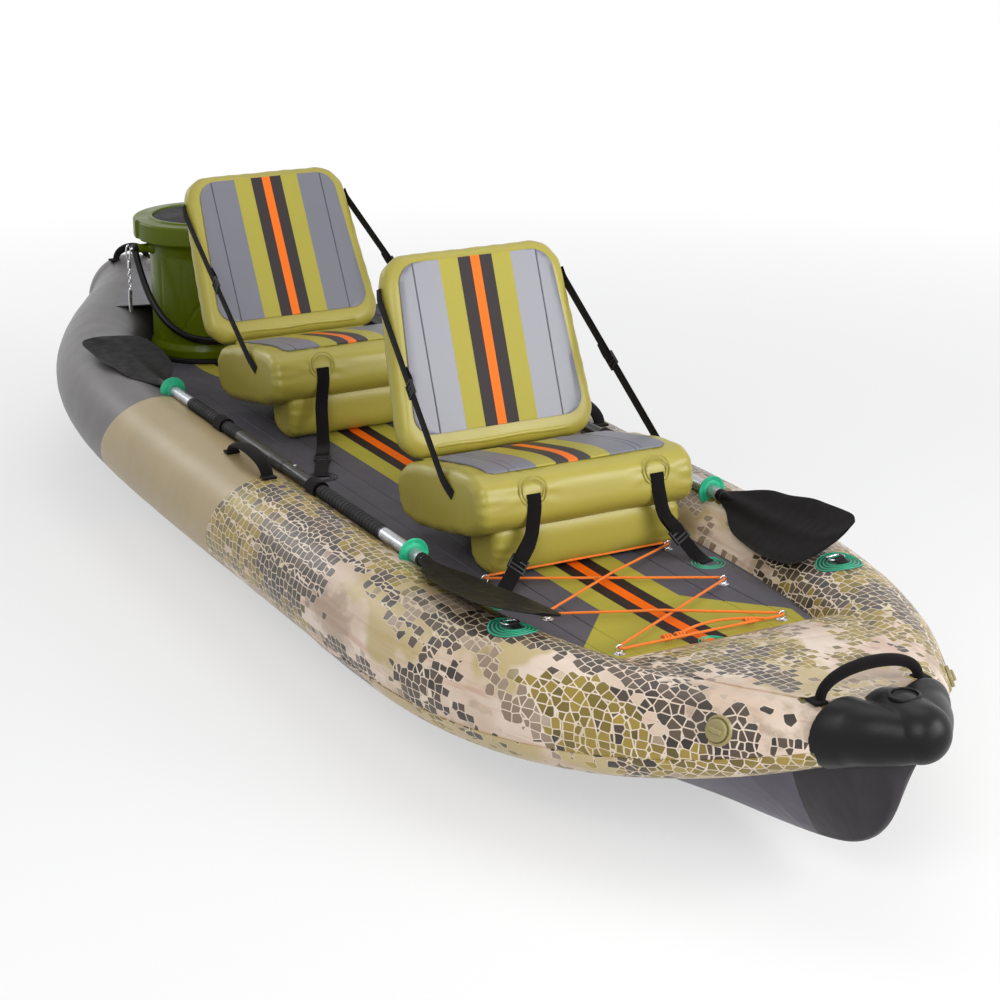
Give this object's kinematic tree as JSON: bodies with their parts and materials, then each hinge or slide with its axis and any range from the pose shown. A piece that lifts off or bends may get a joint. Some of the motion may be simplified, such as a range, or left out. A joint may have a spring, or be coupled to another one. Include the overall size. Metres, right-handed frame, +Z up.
{
  "type": "inflatable fishing boat",
  "caption": "Open inflatable fishing kayak with padded folding seats, laced front deck, double-bladed paddles held on its side tubes, moulded nose and a bucket cooler on the stern deck.",
  "frame": {"origin": "on the centre-line at half length, at the height of the flat keel strip that the boat rests on", "axes": "+Z up, -Y to the bow, +Y to the stern, +X to port"},
  "size_m": [1.033, 3.782, 0.8154],
  "materials": {
    "tube_fabric": null,
    "floor_fabric": "dark grey coated fabric",
    "deck_foam": "dark closed-cell foam with grooves and coloured stripes",
    "moulded_black": "satin black moulding",
    "seat_foam": "grey closed-cell foam with green, black and orange stripes",
    "olive_fabric": "glossy olive coated fabric",
    "webbing": "black woven webbing",
    "bungee": "orange woven elastic cord",
    "steel": "stainless steel",
    "cooler_green": "green satin plastic",
    "rubber": "black rubber",
    "paddle_black": "black satin plastic and composite",
    "teal_rubber": "teal moulded rubber",
    "valve_plastic": "olive-brown plastic"
  },
  "bodies": {
    "hull": {"bow_cover": "tube_fabric", "bow_handle": "webbing", "bungee_cord": "bungee", "cooler_body": "cooler_green", "cooler_foot": "rubber", "deck_pad": "deck_foam", "floor_board": "floor_fabric", "forefoot_guard": "moulded_black", "front_port_hold_down": "webbing", "front_port_side_strap": "webbing", "front_seat_lower": "olive_fabric", "front_seat_pad": "seat_foam", "front_seat_upper": "olive_fabric", "front_starboard_hold_down": "webbing", "front_starboard_side_strap": "webbing", "nose_cone": "moulded_black", "nose_fitting": "moulded_black", "port_eye_1": "steel", "port_eye_2": "steel", "port_eye_3": "steel", "port_handle": "webbing", "port_paddle_front": "paddle_black", "port_paddle_holder_1": "webbing", "port_paddle_holder_2": "webbing", "port_paddle_rear": "paddle_black", "port_ring_patch": "teal_rubber", "port_tube": "tube_fabric", "rear_port_hold_down": "webbing", "rear_port_side_strap": "webbing", "rear_seat_lower": "olive_fabric", "rear_seat_pad": "seat_foam", "rear_seat_upper": "olive_fabric", "rear_starboard_hold_down": "webbing", "rear_starboard_side_strap": "webbing", "starboard_eye_1": "steel", "starboard_eye_2": "steel", "starboard_eye_3": "steel", "starboard_handle": "webbing", "starboard_paddle_front": "paddle_black", "starboard_paddle_holder_1": "webbing", "starboard_paddle_holder_2": "webbing", "starboard_paddle_rear": "paddle_black", "starboard_ring_patch": "steel", "starboard_tube": "tube_fabric", "stern_cover": "floor_fabric", "stern_handle": "webbing"},
    "front_backrest": {"front_backrest": "olive_fabric", "front_backrest_pad": "seat_foam"},
    "rear_backrest": {"rear_backrest": "olive_fabric", "rear_backrest_pad": "seat_foam"},
    "cooler_lid": {"cooler_lid": "cooler_green", "cooler_lid_insert": "rubber"},
    "cooler_bail": {"cooler_bail": "moulded_black"},
    "cooler_clip": {"cooler_clip": "steel"},
    "starboard_valve_cap": {"starboard_valve_cap": "valve_plastic"},
    "port_valve_cap": {"port_valve_cap": "valve_plastic"},
    "starboard_d_ring": {"starboard_d_ring": "steel"},
    "port_d_ring": {"port_d_ring": "steel"}
  },
  "joints": [
    {"name": "front_backrest_fold", "type": "hinge", "parent": "hull", "child": "front_backrest", "pos_m": [0, -0.4717, 0.4345], "axis": [1, 0, 0], "range_deg": [0, 84], "deforming": ["front_port_side_strap", "front_starboard_side_strap"]},
    {"name": "rear_backrest_fold", "type": "hinge", "parent": "hull", "child": "rear_backrest", "pos_m": [0, 0.5703, 0.4345], "axis": [1, 0, 0], "range_deg": [0, 92], "deforming": ["rear_port_side_strap", "rear_starboard_side_strap"]},
    {"name": "cooler_lid_lift", "type": "slide", "parent": "hull", "child": "cooler_lid", "axis": [0, 0, 1], "range_m": [0, 0.045]},
    {"name": "cooler_bail_swing", "type": "hinge", "parent": "hull", "child": "cooler_bail", "pos_m": [0, 1.19, 0.5376], "axis": [-1, 0, 0], "range_deg": [0, 205]},
    {"name": "cooler_clip_swing", "type": "hinge", "parent": "hull", "child": "cooler_clip", "pos_m": [-0.207, 1.19, 0.5376], "axis": [1, 0, 0], "range_deg": [-40, 40]},
    {"name": "starboard_valve_twist", "type": "hinge", "parent": "hull", "child": "starboard_valve_cap", "pos_m": [-0.23292, -1.61885, 0.30393], "axis": [-0.8284, -0.4346, 0.3536], "range_deg": [0, 90]},
    {"name": "starboard_d_ring_flip", "type": "hinge", "parent": "hull", "child": "starboard_d_ring", "pos_m": [-0.34908, -1.14585, 0.34507], "axis": [0.9977, 0, -0.068], "range_deg": [0, 45]},
    {"name": "port_valve_twist", "type": "hinge", "parent": "hull", "child": "port_valve_cap", "pos_m": [0.23292, -1.61885, 0.30393], "axis": [0.8284, -0.4346, 0.3536], "range_deg": [0, 90]},
    {"name": "port_d_ring_flip", "type": "hinge", "parent": "hull", "child": "port_d_ring", "pos_m": [0.34908, -1.14585, 0.34507], "axis": [0.9977, 0, 0.068], "range_deg": [0, 140]}
  ]
}
